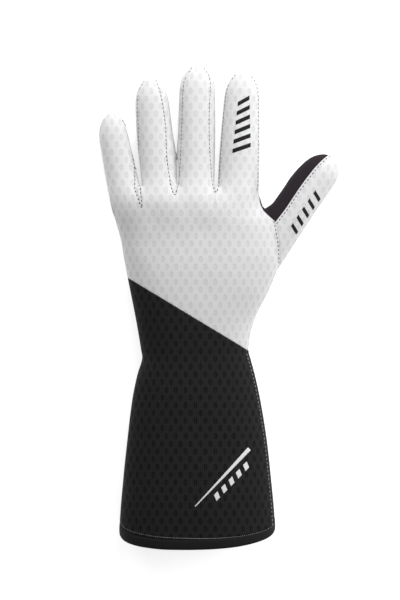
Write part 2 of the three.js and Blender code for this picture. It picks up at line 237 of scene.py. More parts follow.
def read_rows(rows, key, column):
    """A smooth curve through one column of a table whose first column is the key."""
    last = len(rows) - 1
    i = 0
    while i < last - 1 and key > rows[i + 1][0]:
        i += 1
    before, start, end, after = (rows[clamp(i + step, 0, last)] for step in (-1, 0, 1, 2))
    run = end[0] - start[0]
    t = clamp((key - start[0]) / run)
    slope_in = (end[column] - before[column]) / max(end[0] - before[0], 1e-6) * run
    slope_out = (after[column] - start[column]) / max(after[0] - start[0], 1e-6) * run
    h = t * t * (3 - 2 * t)
    return (mix(start[column], end[column], h)
            + slope_in * t * (1 - t) ** 2 - slope_out * t * t * (1 - t))


def body_at(up):
    """Left reach, right reach and height of the hand or gauntlet at a distance from the wrist crease."""
    half = WRIST_WIDTH / 2
    gauntlet = up < 0
    left_full = CUFF_WIDTH / 2 - CUFF_SHIFT if gauntlet else PALM_REACH_LITTLE
    right_full = CUFF_WIDTH / 2 + CUFF_SHIFT if gauntlet else PALM_REACH_THUMB
    share = read_rows(BODY_ROWS, up, 3)
    if gauntlet:
        full_height = CUFF_HEIGHT
    else:
        full_height = HAND_HEIGHT if share > 0 else 2 * WRIST_HEIGHT - KNUCKLE_HEIGHT
    return (
        -mix(half, left_full, read_rows(BODY_ROWS, up, 1)),
        mix(half, right_full, read_rows(BODY_ROWS, up, 2)),
        mix(WRIST_HEIGHT, full_height, share),
    )


def round_end(left, length):
    """How far a digit has closed when this much is left of its length."""
    run = clamp(1 - left / length)
    return max(BLUNT_TIP, math.sqrt(1 - run ** 2))


def turned(lean):
    """The ways across and along something that leans, in plan."""
    return Vector((math.cos(lean), math.sin(lean))), Vector((-math.sin(lean), math.cos(lean)))


def across_of(digit):
    return turned(math.radians(digit["lean"]))[0]


def along_of(digit):
    return turned(math.radians(digit["lean"]))[1]


def point_on(digit, share, offset):
    root = Vector((digit["across"], digit["up"]))
    sideways = offset + digit["shift"] * share ** 3
    return root + along_of(digit) * (digit["reach"] * share) + across_of(digit) * sideways


def full_half_width(digit, share):
    rooted = mix(ROOT_SLIM, 1, clamp(share / ROOTED_SHARE))
    return digit["width"] / 2 * mix(1, digit["slim"], share ** TAPER_POWER) * rooted


def half_width(digit, share):
    return full_half_width(digit, share) * round_end(digit["reach"] * (1 - share), digit["tip"])


def bulge(value):
    return math.copysign(abs(value) ** ROUNDNESS, value)


def tube(sides, rings, section_at):
    """A closed tube bent into shape.

    section_at(share) gives centre, half width, height, roundness and the way across.
    """
    bm = bmesh.new()
    made = bmesh.ops.create_cone(bm, cap_ends=True, cap_tris=False, segments=sides,
                                 radius1=1, radius2=1, depth=1)
    walls = {edge for vert in made["verts"] for edge in vert.link_edges
             if abs(edge.verts[0].co.z - edge.verts[1].co.z) > 0.5}
    bmesh.ops.subdivide_edges(bm, edges=list(walls), cuts=rings - 1, use_grid_fill=True)
    for vert in bm.verts:
        centre, half, top, closed, across = section_at(vert.co.z + 0.5)
        level = top * WIDEST_LEVEL
        lift = vert.co.y
        depth = top - level if lift > 0 else level * (1 + UNDERSIDE_SINK)
        side = across * (bulge(vert.co.x) * half * closed)
        vert.co = (centre.x + side.x, centre.y + side.y, max(0, level + bulge(lift) * depth * closed))
    bmesh.ops.recalc_face_normals(bm, faces=bm.faces)
    return bm


def body_tube():
    first, last = BODY_ROWS[0][0], BODY_ROWS[-1][0]

    def section_at(share):
        up = mix(first, last, share)
        left, right, top = body_at(up)
        return Vector(((left + right) / 2, up)), (right - left) / 2, top, 1, Vector((1, 0))

    return tube(96, 140, section_at)


def digit_tube(digit):
    def section_at(ring):
        share = math.sin(ring * math.pi / 2)
        closed = round_end(digit["reach"] * (1 - share), digit["tip"])
        top = digit["height"] * mix(1, digit["tip_height"], share)
        return point_on(digit, share, 0), full_half_width(digit, share), top, closed, across_of(digit)

    return tube(48, 36, section_at)


def gap_of(fork):
    """The lower end of the slit between two fingers, and its lean."""
    left, right = (DIGITS[name] for name in fork["digits"])
    share = FINGER_OVERLAP / left["reach"]
    edge_of_left = point_on(left, share, half_width(left, share))
    edge_of_right = point_on(right, share, -half_width(right, share))
    middle = (edge_of_left + edge_of_right) / 2
    return Vector((middle.x + fork["shift"], CROTCH)), math.radians(fork["lean"])


def cut_off(bm, point, outward, dist):
    """Cuts away what lies beyond a plane; returns what lies on the cut."""
    cut = bmesh.ops.bisect_plane(bm, geom=bm.verts[:] + bm.edges[:] + bm.faces[:], dist=dist,
                                 plane_co=point, plane_no=outward, clear_outer=True)
    return cut["geom_cut"]


def trim_to_slit(bm, fork, side):
    """Cuts a finger back to one side of the slit beside it, and closes the cut."""
    crotch, lean = gap_of(fork)
    lean += math.radians(fork["opens"] / 2) * side
    across = turned(lean)[0].to_3d()
    point = crotch.to_3d() - across * (max(fork["slit"], WIDEST_CUT) / 2 * side)
    cut = cut_off(bm, point, across * side, 0.001)
    edges = [item for item in cut if isinstance(item, bmesh.types.BMEdge)]
    if edges:
        bmesh.ops.holes_fill(bm, edges=edges, sides=0)


def close_slit(bm, fork):
    """Brings two fingers together where their slit was cut wider than it is."""
    extra = max(0, WIDEST_CUT - fork["slit"]) / 2
    crotch, lean = gap_of(fork)
    across, along = turned(lean)
    reach, height = 9, 40
    for v in bm.verts:
        place = v.co.to_2d() - crotch
        side, up = place.dot(across), place.dot(along)
        if -1 < up < height and abs(side) < reach:
            near = smoothstep((reach - abs(side)) / 7.5) * smoothstep((up + 1) / 3)
            near *= smoothstep((height - up) / 14)
            v.co -= (across * (math.copysign(min(extra, abs(side)), side) * near)).to_3d()


# Seams in plan. Each is a line of points; an outline is closed by running round outside the glove.


def finger_seam(digit, side, shows, inset):
    """The seam along one side of a finger, from beyond the tip down to the root."""
    rows = list(zip(SHOW_SHARES, shows))
    line = []
    for share in SEAM_SHARES:
        offset = half_width(digit, min(share, 1)) - read_rows(rows, share, 1) - inset
        line.append(point_on(digit, share, side * max(offset, SEAM_CLEARANCE)))
    return line


def fork_line(fork, inset=0.0):
    """The seam round a fourchette: down one finger, round the fork and up the next."""
    left, right = (DIGITS[name] for name in fork["digits"])
    down = finger_seam(left, 1, fork["left"], inset)
    up = finger_seam(right, -1, fork["right"], inset)[::-1]
    crotch = gap_of(fork)[0]
    foot = crotch + Vector((fork["sway"], -fork["depth"] - inset))
    ends = [foot + Vector((side * fork["foot"] / 2, 0)) for side in (-1, 1)]
    return down + ends + up


def thumb_seam(inset=0.0):
    """The arc that sets the thumb into the hand."""
    along = (THUMB_SEAM_END - WEB).normalized()
    out = Vector((-along.y, along.x))
    control = (WEB + THUMB_SEAM_END) / 2 + out * (THUMB_SEAM_BULGE * 2)
    steps = 14
    return [WEB * (1 - t) ** 2 + control * (2 * t * (1 - t)) + THUMB_SEAM_END * t ** 2 - out * inset
            for t in (step / steps for step in range(steps + 1))]


def suede_line(inset=0.0):
    """The edge between suede and knit along the thumb."""
    thumb = DIGITS["thumb"]
    line = [point_on(thumb, share, inset - offset) for share, offset in THUMB_SEAM_ROWS]
    return [WEB + across_of(thumb) * inset] + line


# Beyond the glove on every side, to close the outlines
FAR = 260
GAP_ABOVE = Vector((CROTCH_OF_THUMB.x + 15, PALM_LENGTH + 30))
THUMB_LINE = [GAP_ABOVE, CROTCH_OF_THUMB] + thumb_seam() + [Vector((90, 20))]
THUMB_OUTLINE = THUMB_LINE + [Vector((FAR, 20)), Vector((FAR, FAR)), Vector((GAP_ABOVE.x, FAR))]
SUEDE_LINE = suede_line()
SUEDE_OUTLINE = SUEDE_LINE + [Vector((GAP_ABOVE.x, FAR)), GAP_ABOVE, CROTCH_OF_THUMB - Vector((30, 0))]
WEB_LINE = [
    Vector((KNUCKLE_REACH_INDEX + 4, CROTCH_OF_THUMB.y + WEB_SHOW_LENGTH + 8)),
    Vector((KNUCKLE_REACH_INDEX - 0.3, CROTCH_OF_THUMB.y + WEB_SHOW_LENGTH)),
    Vector((KNUCKLE_REACH_INDEX + 0.2, CROTCH_OF_THUMB.y + WEB_SHOW_LENGTH * 0.4)),
    Vector((CROTCH_OF_THUMB.x - WEB_SHOW * 0.6, CROTCH_OF_THUMB.y - 1)),
    WEB,
]
WEB_OUTLINE = WEB_LINE + [GAP_ABOVE]
FORK_LINES = [fork_line(fork) for fork in FORKS]


def inside(outline, x, y):
    """Whether a point in plan lies inside a closed outline."""
    result = False
    before = outline[-1]
    for corner in outline:
        if (corner.y > y) != (before.y > y):
            result ^= x < (before.x - corner.x) * (y - corner.y) / (before.y - corner.y) + corner.x
        before = corner
    return result


COLOUR_NORMAL = Vector((math.sin(COLOUR_SEAM_ANGLE), math.cos(COLOUR_SEAM_ANGLE), 0))
COLOUR_POINT = Vector((0, COLOUR_SEAM_RISE, 0))
HEM_NORMAL = Matrix.Rotation(HEM_TURN, 3, "Z") @ Vector((0, math.cos(HEM_SLANT), math.sin(HEM_SLANT)))
HEM_POINT = Vector((0, -GAUNTLET_LENGTH, CUFF_HEIGHT))


def from_hem(point):
    """Distance from the hem's slanting plane, up the gauntlet."""
    return (point - HEM_POINT).dot(HEM_NORMAL)


def panel_at(point):
    """The node of the panel that a point of the surface belongs to, or None past the hem.

    The comparisons of x and y only save time where an outline is far away.
    """
    x, y, z = point
    if (point - COLOUR_POINT).dot(COLOUR_NORMAL) < 0:
        up = from_hem(point)
        if up < 0:
            return None
        return "cuff_binding" if up < BINDING_WIDTH else "gauntlet"
    if x > 40 and y > 30 and inside(THUMB_OUTLINE, x, y):
        return "thumb_palm" if z < SIDE_SEAM_HEIGHT or inside(SUEDE_OUTLINE, x, y) else "thumb_back"
    if z < SIDE_SEAM_HEIGHT:
        return "palm_panel"
    if x > 35 and y > 90 and inside(WEB_OUTLINE, x, y):
        return "palm_panel"
    if y > 95:
        for fork, line in zip(FORKS, FORK_LINES):
            if inside(line, x, y):
                return fork["node"]
    return "back_panel"


def to_segment(x, y, a, b):
    """Distance in plan from a point to a straight run."""
    run = b - a
    share = clamp(((x - a.x) * run.x + (y - a.y) * run.y) / run.length_squared)
    return math.hypot(x - a.x - run.x * share, y - a.y - run.y * share)


def cut_flat(bm, centre, normal):
    """Cuts the surface where it passes through a plane."""
    faces = [face for face in bm.faces if abs((face.calc_center_median() - centre).dot(normal)) < 2]
    cut_faces(bm, faces, centre, normal)


def cut_faces(bm, faces, centre, normal):
    geom = {item for face in faces for item in (*face.verts, *face.edges)} | set(faces)
    return bmesh.ops.bisect_plane(bm, geom=list(geom), dist=0.02, plane_co=centre, plane_no=normal)


def box_test(points, margin):
    """A test for whether a place lies, in plan, within a margin round some points."""
    low_x, high_x = min(p.x for p in points) - margin, max(p.x for p in points) + margin
    low_y, high_y = min(p.y for p in points) - margin, max(p.y for p in points) + margin
    return lambda c: low_x < c.x < high_x and low_y < c.y < high_y


def cut_along(bm, line, lowest):
    """Cuts the surface above a height along a line of points in plan."""
    within = box_test(line, CUT_REACH)
    middles = ((face, face.calc_center_median()) for face in bm.faces)
    near = {face: c for face, c in middles if c.z > lowest and within(c)}
    for a, b in zip(line, line[1:]):
        if (a - b).length < 0.01:
            continue
        faces = [face for face, c in near.items()
                 if face.is_valid and to_segment(c.x, c.y, a, b) < CUT_REACH]
        if not faces:
            continue
        run = (b - a).normalized()
        cut = cut_faces(bm, faces, a.to_3d(), Vector((-run.y, run.x, 0)))
        for item in cut["geom"]:
            if isinstance(item, bmesh.types.BMFace) and item.is_valid:
                near[item] = item.calc_center_median()


def hollow_at(x, y):
    """How far the cloth sinks behind the knuckles, less how far it stands up over them."""
    hollow = 0
    for dent in DENTS:
        across, up = (x - dent["across"]) / dent["wide"], (y - dent["up"]) / dent["long"]
        hollow += dent["depth"] * math.exp(-across ** 2 - up ** 2)
    up = (y - KNUCKLE_RIDGE["up"]) / KNUCKLE_RIDGE["long"]
    return hollow - KNUCKLE_RIDGE["height"] * math.exp(-up ** 2) * smoothstep((ROOT_THUMB_SIDE - x) / 12)


def fill_thumb(bm):
    """Rounds the web into the thumb and fills out the thumb's inner side."""
    thumb = DIGITS["thumb"]
    across, along, root = across_of(thumb), along_of(thumb), point_on(thumb, 0, 0)
    low, high = THUMB_FILL_ROWS[0][0], THUMB_FILL_ROWS[-2][0]
    for v in bm.verts:
        place = v.co.to_2d() - root
        share, side = place.dot(along) / thumb["reach"], place.dot(across)
        if low < share < high and -THUMB_FILL_WIDTH < side < 0:
            near = smoothstep(-side / 9) * smoothstep((THUMB_FILL_WIDTH + side) / 4)
            v.co -= across.to_3d() * (read_rows(THUMB_FILL_ROWS, share, 1) * near)
        apart = math.hypot(v.co.x - WEB_CORNER.x, v.co.y - WEB_CORNER.y)
        if apart < WEB_RISE_REACH * 3:
            v.co += WEB_RISE * math.exp(-(apart / WEB_RISE_REACH) ** 2)


def smooth(bm, verts, rounds):
    for _ in range(rounds):
        bmesh.ops.smooth_vert(bm, verts=verts, factor=0.5,
                              use_axis_x=True, use_axis_y=True, use_axis_z=True)


def drop_on(tree, x, y):
    """The place on top of a surface over a point in plan, and the way out of the surface there."""
    return tree.ray_cast(Vector((x, y, RAY_START)), Vector((0, 0, -1)))[:2]


def ease_roots(bm):
    """Lets the fingers' tops run into the back of the hand, by averaging the height along the hand."""
    for _ in range(2):
        tree = BVHTree.FromBMesh(bm)

        def height(x, y):
            hit = drop_on(tree, x, y)[0]
            return hit.z if hit is not None and hit.z > ROOT_LOWEST else None

        moves = {}
        for v in bm.verts:
            near = smoothstep((ROOT_REACH - abs(v.co.y - PALM_LENGTH)) / 12)
            near *= smoothstep((ROOT_THUMB_SIDE - v.co.x) / 8)
            if near == 0 or v.co.z < ROOT_LOWEST or v.normal.z < -0.3:
                continue
            x, y = v.co.x - v.normal.x * 0.5, v.co.y - v.normal.y * 0.5
            here = height(x, y)
            if here is None or here - ROOT_LOWEST < 1:
                continue
            along = [(math.exp(-(step / 3) ** 2), height(x, y + step * 2)) for step in range(-6, 7)]
            found = [(weight, there) for weight, there in along if there is not None]
            mean = sum(there * weight for weight, there in found) / sum(weight for weight, there in found)
            moves[v] = (mean - here) * near * clamp((v.co.z - ROOT_LOWEST) / (here - ROOT_LOWEST))
        for v, move in moves.items():
            v.co.z += move
        bm.normal_update()
    roots = [v for v in bm.verts if abs(v.co.y - PALM_LENGTH) < 7 and v.co.z > 5 and v.co.x < 40]
    smooth(bm, roots, ROOT_ROUNDS)


def mesh_from(bm, name):
    """Turns a bmesh into a mesh, and frees it."""
    mesh = bpy.data.meshes.new(name)
    bm.to_mesh(mesh)
    bm.free()
    return mesh


def joined(parts):
    """One bmesh made of several, which it frees."""
    whole = bmesh.new()
    for part in parts:
        mesh = mesh_from(part, "glove_part")
        whole.from_mesh(mesh)
        bpy.data.meshes.remove(mesh)
    return whole


class Form:
    """The whole glove's surface, cut along its seams, which every panel is taken from."""

    made = None

    def __init__(self, sizes):
        self.bm = self.grow(sizes)
        self.cut_seams()
        self.settle_panels(sizes)
        self.tree = BVHTree.FromBMesh(self.bm)

    @classmethod
    def get(cls):
        if cls.made is None:
            cls.made = cls(bpy.context.scene.glove_sizes)
        return cls.made

    def grow(self, sizes):
        """Joins the tubes into one smooth skin."""
        parts = [body_tube(), digit_tube(DIGITS["thumb"])]
        for i, name in enumerate(FINGERS):
            finger_tube = digit_tube(DIGITS[name])
            if i > 0:
                trim_to_slit(finger_tube, FORKS[i - 1], -1)
            if i < len(FORKS):
                trim_to_slit(finger_tube, FORKS[i], 1)
            parts.append(finger_tube)
        mesh = mesh_from(joined(parts), "glove_form")
        obj = bpy.data.objects.new("glove_form", mesh)
        bpy.context.scene.collection.objects.link(obj)
        remesh = obj.modifiers.new("skin", "REMESH")
        remesh.mode = "VOXEL"
        remesh.voxel_size = sizes.surface_step / MM
        bpy.context.view_layer.update()
        skin = bpy.data.meshes.new_from_object(obj.evaluated_get(bpy.context.evaluated_depsgraph_get()))
        bpy.data.objects.remove(obj)
        bpy.data.meshes.remove(mesh)
        bm = bmesh.new()
        bm.from_mesh(skin)
        bpy.data.meshes.remove(skin)
        smooth(bm, bm.verts, SKIN_ROUNDS)
        for fork in FORKS:
            close_slit(bm, fork)
        fill_thumb(bm)
        ease_roots(bm)
        for v in bm.verts:
            if v.co.z > 4:
                rise = sum(noise.noise(v.co / apart) * height for apart, height in SWELLS)
                v.co.z += (rise - hollow_at(v.co.x, v.co.y)) * smoothstep((v.co.z - 4) / 12)
            v.co.z = max(0, v.co.z)
        return bm

    def cut_seams(self):
        bm = self.bm
        cut_flat(bm, COLOUR_POINT, COLOUR_NORMAL)
        cut_flat(bm, HEM_POINT, HEM_NORMAL)
        cut_flat(bm, HEM_POINT + HEM_NORMAL * BINDING_WIDTH, HEM_NORMAL)
        side = [f for f in bm.faces if abs(f.calc_center_median().z - SIDE_SEAM_HEIGHT) < 1.5
                and (f.calc_center_median() - COLOUR_POINT).dot(COLOUR_NORMAL) > -2]
        cut_faces(bm, side, Vector((0, 0, SIDE_SEAM_HEIGHT)), Vector((0, 0, 1)))
        for line in FORK_LINES:
            cut_along(bm, line, SIDE_SEAM_HEIGHT - 1)
        cut_along(bm, WEB_LINE, SIDE_SEAM_HEIGHT - 1)
        cut_along(bm, SUEDE_LINE, SIDE_SEAM_HEIGHT - 1)
        cut_along(bm, THUMB_LINE, -1)

    def settle_panels(self, sizes):
        """Gives each face its panel, and rolls the cloth inwards along every seam."""
        bm = self.bm
        gone = []
        for face in bm.faces:
            node = panel_at(face.calc_center_median())
            if node is None:
                gone.append(face)
            else:
                face.material_index = PANELS.index(node)
        bmesh.ops.delete(bm, geom=gone, context="FACES")
        seams = {"deep": [], "shallow": []}
        for edge in bm.edges:
            nodes = {PANELS[face.material_index] for face in edge.link_faces}
            if len(nodes) > 1 or edge.is_boundary:
                over_wrist = nodes in ({"back_panel", "gauntlet"}, {"palm_panel", "gauntlet"})
                seams["shallow" if over_wrist else "deep"] += [v.co.copy() for v in edge.verts]
        bm.normal_update()
        moves = {}
        for kind, depth, width in (("deep", sizes.seam_depth / MM, sizes.seam_width / MM),
                                   ("shallow", sizes.seam_depth * 0.45 / MM, sizes.seam_width * 0.6 / MM)):
            tree = KDTree(len(seams[kind]))
            for i, co in enumerate(seams[kind]):
                tree.insert(co, i)
            tree.balance()
            for v in bm.verts:
                distance = tree.find(v.co)[2]
                if distance < width:
                    roll = 1 - math.sqrt(1 - (1 - distance / width) ** 2)
                    moves[v] = max(moves.get(v, 0), depth * roll)
        for v, move in moves.items():
            v.co -= v.normal * move
            v.co.z = max(0, v.co.z)
        for v in bm.verts:
            up = from_hem(v.co)
            if up < BINDING_WIDTH:
                share = clamp(up / BINDING_WIDTH)
                v.co += v.normal * (sizes.binding_bulge / MM * math.sqrt(max(0, 1 - (2 * share - 1) ** 2)))
                v.co.z = max(0, v.co.z)
        bm.normal_update()

    def take(self, node):
        """A copy of one panel's surface."""
        bm = self.bm.copy()
        index = PANELS.index(node)
        others = [face for face in bm.faces if face.material_index != index]
        bmesh.ops.delete(bm, geom=others, context="FACES")
        for face in bm.faces:
            face.material_index = 0
        return bm


def nearest_finger(place):
    return min((DIGITS[name] for name in FINGERS),
               key=lambda digit: abs((place - point_on(digit, 0, 0)).dot(across_of(digit))))


def round_side(co, centre, across, top):
    """How much further the cloth runs round the side than the plan shows, as a step across."""
    side = clamp((co.to_2d() - centre).dot(across) / SIDE_WIDTH, -1, 1)
    return across * (side * SIDE_GAIN * max(0, top - co.z - SIDE_START))


def round_digit(co, digit):
    """The same round one digit."""
    share = clamp((co.to_2d() - point_on(digit, 0, 0)).dot(along_of(digit)) / digit["reach"])
    top = digit["height"] * mix(1, digit["tip_height"], share)
    return round_side(co, point_on(digit, share, 0), across_of(digit), top)


def cloth_place(node, co):
    """Where a point of a panel lies on the flat cloth, in millimetres."""
    plan = co.to_2d()
    if node.startswith("fourchette"):
        return Vector((co.x + max(0, 14 - co.z) * 0.5, co.y))
    if node.startswith("thumb"):
        return plan + round_digit(co, DIGITS["thumb"])
    left, right, top = body_at(min(co.y, PALM_LENGTH))
    over_body = round_side(co, Vector(((left + right) / 2, co.y)), Vector((1, 0)), top)
    blend = smoothstep((co.y - CROTCH + 6) / 16)
    if blend == 0:
        return plan + over_body
    return plan + over_body * (1 - blend) + round_digit(co, nearest_finger(plan)) * blend


def lay_out_cloth(bm, node):
    """Stores each point's place on the flat cloth as the piece's UV map, one unit for each metre."""
    layer = bm.loops.layers.uv.new("cloth")
    places = {v: cloth_place(node, v.co) * MM for v in bm.verts}
    for face in bm.faces:
        for loop in face.loops:
            loop[layer].uv = places[loop.vert]


def finish_piece(bm, name, material, nodes=()):
    """Puts a finished mesh, drawn in millimetres, into the frame as a piece that rides on the glove."""
    into_frame = Matrix.Scale(MM, 4) @ Matrix.Translation(-MIDDLE)
    bmesh.ops.transform(bm, matrix=into_frame, verts=bm.verts)
    for face in bm.faces:
        face.smooth = True
    mesh = mesh_from(bm, name)
    mesh.materials.append(material)
    piece = bpy.data.objects.new(name, mesh)
    bpy.context.scene.collection.objects.link(piece)
    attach(piece, "root")
    if nodes:
        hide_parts(*nodes)
    return piece


def thin_out(piece, share):
    """Keeps a share of a large piece's faces, most of them where the cloth curves."""
    thinner = piece.modifiers.new("thinner", "DECIMATE")
    thinner.ratio = share


def give_wall(piece, thickness):
    wall = piece.modifiers.new("wall", "SOLIDIFY")
    wall.thickness = thickness
    wall.offset = -1
    wall.use_rim = True


# Shader building blocks


def fill(tree, made, values):
    """Links or sets a node's inputs."""
    for key, value in values.items():
        if isinstance(value, bpy.types.NodeSocket):
            tree.links.new(value, made.inputs[key])
        else:
            made.inputs[key].default_value = value


def node(tree, kind, values, **settings):
    """Adds a node, sets what it is told, and links or sets its inputs."""
    made = tree.nodes.new(kind)
    for key, value in settings.items():
        setattr(made, key, value)
    fill(tree, made, values)
    return made


def math_node(tree, operation, *values):
    return node(tree, "ShaderNodeMath", dict(enumerate(values)), operation=operation).outputs[0]


def mix_colour(tree, share, a, b):
    made = node(tree, "ShaderNodeMix", {0: share, 6: a, 7: b}, data_type="RGBA", clamp_factor=True)
    return made.outputs[2]


def noise_node(tree, place, scale, detail):
    made = node(tree, "ShaderNodeTexNoise", {"Vector": place, "Scale": scale, "Detail": detail})
    return made.outputs["Fac"]


def opaque(colour, gain=1.0):
    """A colour with its alpha, made darker or lighter."""
    return tuple(min(1, c * gain) for c in colour) + (1,)


def new_group(name, place, numbers, outputs):
    """An empty group of nodes that takes a place and numbers, with its sums, inputs and output node."""
    group = bpy.data.node_groups.new(name, "ShaderNodeTree")
    group.interface.new_socket(name=place, in_out="INPUT", socket_type="NodeSocketVector")
    for label, default in numbers.items():
        socket = group.interface.new_socket(name=label, in_out="INPUT", socket_type="NodeSocketFloat")
        socket.default_value = default
    for label in outputs:
        group.interface.new_socket(name=label, in_out="OUTPUT", socket_type="NodeSocketFloat")
    return (group, partial(math_node, group), group.nodes.new("NodeGroupInput").outputs,
            group.nodes.new("NodeGroupOutput"))


def oval_rows_group():
    """Half-offset rows of small upright ovals, as they are knitted into the cloth."""
    if "Oval Rows" in bpy.data.node_groups:
        return bpy.data.node_groups["Oval Rows"]
    numbers = {"Across": 0.0069, "Along": 0.00535, "Oval Width": 0.0025, "Oval Length": 0.0037}
    group, calc, given, result = new_group("Oval Rows", "Cloth", numbers, ["Oval", "Rim Shade"])
    place = node(group, "ShaderNodeSeparateXYZ", {0: given["Cloth"]}).outputs

    def from_middle(place_in_rows, step, size):
        """Distance from an oval's middle, as a share of half its size."""
        offset = calc("SUBTRACT", calc("FRACT", place_in_rows), 0.5)
        return calc("DIVIDE", calc("MULTIPLY", offset, given[step]), calc("MULTIPLY", given[size], 0.5))

    v = calc("DIVIDE", place["Y"], given["Along"])
    shift = calc("MULTIPLY", calc("PINGPONG", calc("FLOOR", v), 1.0), 0.5)
    u = calc("ADD", calc("DIVIDE", place["X"], given["Across"]), shift)
    wide = from_middle(u, "Across", "Oval Width")
    long = from_middle(v, "Along", "Oval Length")
    reach = calc("SQRT", calc("ADD", calc("POWER", wide, 2.0), calc("POWER", long, 2.0)))
    oval = node(group, "ShaderNodeMapRange", {"Value": reach, "From Min": 1.2, "From Max": 0.75},
                interpolation_type="SMOOTHSTEP").outputs["Result"]
    # The rim is a darker ring round each oval, painted shade on the walls of the sunken ovals
    rim_shade = calc("SUBTRACT", 1.0, calc("MULTIPLY", calc("ABSOLUTE", calc("SUBTRACT", reach, 0.85)), 2.6))
    fill(group, result, {"Oval": oval, "Rim Shade": calc("MAXIMUM", rim_shade, 0.0)})
    return group


def knit_ribs_group():
    """Fine upright ribs of a jersey knit, crossed by the rows of its loops."""
    if "Knit Ribs" in bpy.data.node_groups:
        return bpy.data.node_groups["Knit Ribs"]
    group, calc, given, result = new_group(
        "Knit Ribs", "Cloth", {"Rib Step": 0.0011, "Loop Step": 0.0008}, ["Rib", "Mottle"])
    place = node(group, "ShaderNodeSeparateXYZ", {0: given["Cloth"]}).outputs
    u = calc("MULTIPLY", calc("DIVIDE", place["X"], given["Rib Step"]), 2 * math.pi)
    v = calc("MULTIPLY", calc("DIVIDE", place["Y"], given["Loop Step"]), 2 * math.pi)
    ribs = calc("COSINE", u)
    loops = calc("COSINE", calc("ADD", v, calc("ABSOLUTE", ribs)))
    rib = calc("MULTIPLY_ADD", loops, 0.18, calc("MULTIPLY_ADD", ribs, 0.32, 0.5))
    stretched = node(group, "ShaderNodeVectorMath", {0: given["Cloth"], 1: (1, 0.22, 1)},
                     operation="MULTIPLY")
    fill(group, result, {"Rib": rib, "Mottle": noise_node(group, stretched.outputs[0], 520.0, 3.0)})
    return group


def suede_nap_group():
    """Short brushed nap, lighter and darker in soft patches."""
    if "Suede Nap" in bpy.data.node_groups:
        return bpy.data.node_groups["Suede Nap"]
    group, _, given, result = new_group(
        "Suede Nap", "Place", {"Grain Scale": 2600.0, "Patch Scale": 70.0}, ["Grain", "Patch"])
    fill(group, result, {"Grain": noise_node(group, given["Place"], given["Grain Scale"], 4.0),
                         "Patch": noise_node(group, given["Place"], given["Patch Scale"], 3.0)})
    return group


def blank_material(name):
    material = bpy.data.materials.new(name)
    material.use_nodes = True
    tree = material.node_tree
    return material, tree, tree.nodes["Principled BSDF"]


def dress(tree, shader, colour, roughness, gloss, relief, strength, height):
    """Gives a cloth's shader its colour, roughness, gloss and relief."""
    bump = node(tree, "ShaderNodeBump", {"Strength": strength, "Distance": height, "Height": relief})
    fill(tree, shader, {"Base Color": colour, "Roughness": roughness, "Normal": bump.outputs["Normal"],
                        "Specular IOR Level": gloss})


def knit_material(name, ground, oval_tone_and_shade, rib_tone_and_sheen, roughness, gloss, oval_tone_and_shade_strength, rib_and_sheen_strength):
    """Fine knit with rows of ovals, laid out on the flat cloth."""
    if name in bpy.data.materials:
        return bpy.data.materials[name]
    sizes = bpy.context.scene.glove_sizes
    material, tree, shader = blank_material(name)
    calc = partial(math_node, tree)
    cloth = node(tree, "ShaderNodeUVMap", {}, uv_map="cloth").outputs["UV"]
    spacing = {"Cloth": cloth, "Across": sizes.oval_step_across, "Along": sizes.oval_step_along,
               "Oval Width": sizes.oval_width, "Oval Length": sizes.oval_length}
    rows = node(tree, "ShaderNodeGroup", spacing, node_tree=oval_rows_group()).outputs
    ribs = node(tree, "ShaderNodeGroup", {"Cloth": cloth, "Rib Step": sizes.rib_step},
                node_tree=knit_ribs_group()).outputs
    # Darkens the knit toward the oval colour over each oval and its rim: partly the knit's own pattern,
    # partly painted shade in the sunken ovals
    tone = calc("MULTIPLY_ADD", rows["Rim Shade"], 0.45, calc("MULTIPLY", rows["Oval"], 0.55))
    base = mix_colour(tree, calc("MULTIPLY", tone, oval_tone_and_shade_strength), opaque(ground), opaque(oval_tone_and_shade))
    # Along the ribs the colour moves toward the rib colour: darker rib lines on the pale knit, a painted
    # sheen (lighter ribs) on the dark knit
    rib_streak_and_sheen = calc("MULTIPLY", ribs["Rib"], calc("MULTIPLY", ribs["Mottle"], 2.0))
    colour = mix_colour(tree, calc("MULTIPLY", rib_streak_and_sheen, rib_and_sheen_strength), base, opaque(rib_tone_and_sheen))
    relief = calc("SUBTRACT", calc("MULTIPLY", ribs["Rib"], 0.3), rows["Oval"])
    dress(tree, shader, colour, calc("MULTIPLY_ADD", rows["Oval"], 0.06, roughness), gloss,
          relief, 0.5, 0.00012)
    return material


def pale_knit():
    colours = bpy.context.scene.glove_colours
    # The pale knit's grey ovals are partly the knit's pattern, partly painted shade in the sunken ovals
    return knit_material("pale_knit_cloth", colours.pale_ground, colours.pale_oval_tone_and_shade, colours.pale_rib,
                         roughness=0.85, gloss=0.1, oval_tone_and_shade_strength=0.64, rib_and_sheen_strength=0.3)


def dark_knit():
    colours = bpy.context.scene.glove_colours
    # The dark knit's lighter ribs are a painted sheen; its darker ovals are partly the knit's pattern, partly
    # painted shade in the sunken ovals
    return knit_material("dark_knit_cloth", colours.dark_ground, colours.dark_oval_tone_and_shade, colours.dark_rib_sheen,
                         roughness=0.7, gloss=0.08, oval_tone_and_shade_strength=1.4, rib_and_sheen_strength=0.6)


def nap_on(tree, scales):
    """The grain and patches of a nap, laid out on the object itself."""
    place = node(tree, "ShaderNodeTexCoord", {}).outputs["Object"]
    nap = node(tree, "ShaderNodeGroup", {"Place": place, **scales}, node_tree=suede_nap_group()).outputs
    return nap["Grain"], nap["Patch"]


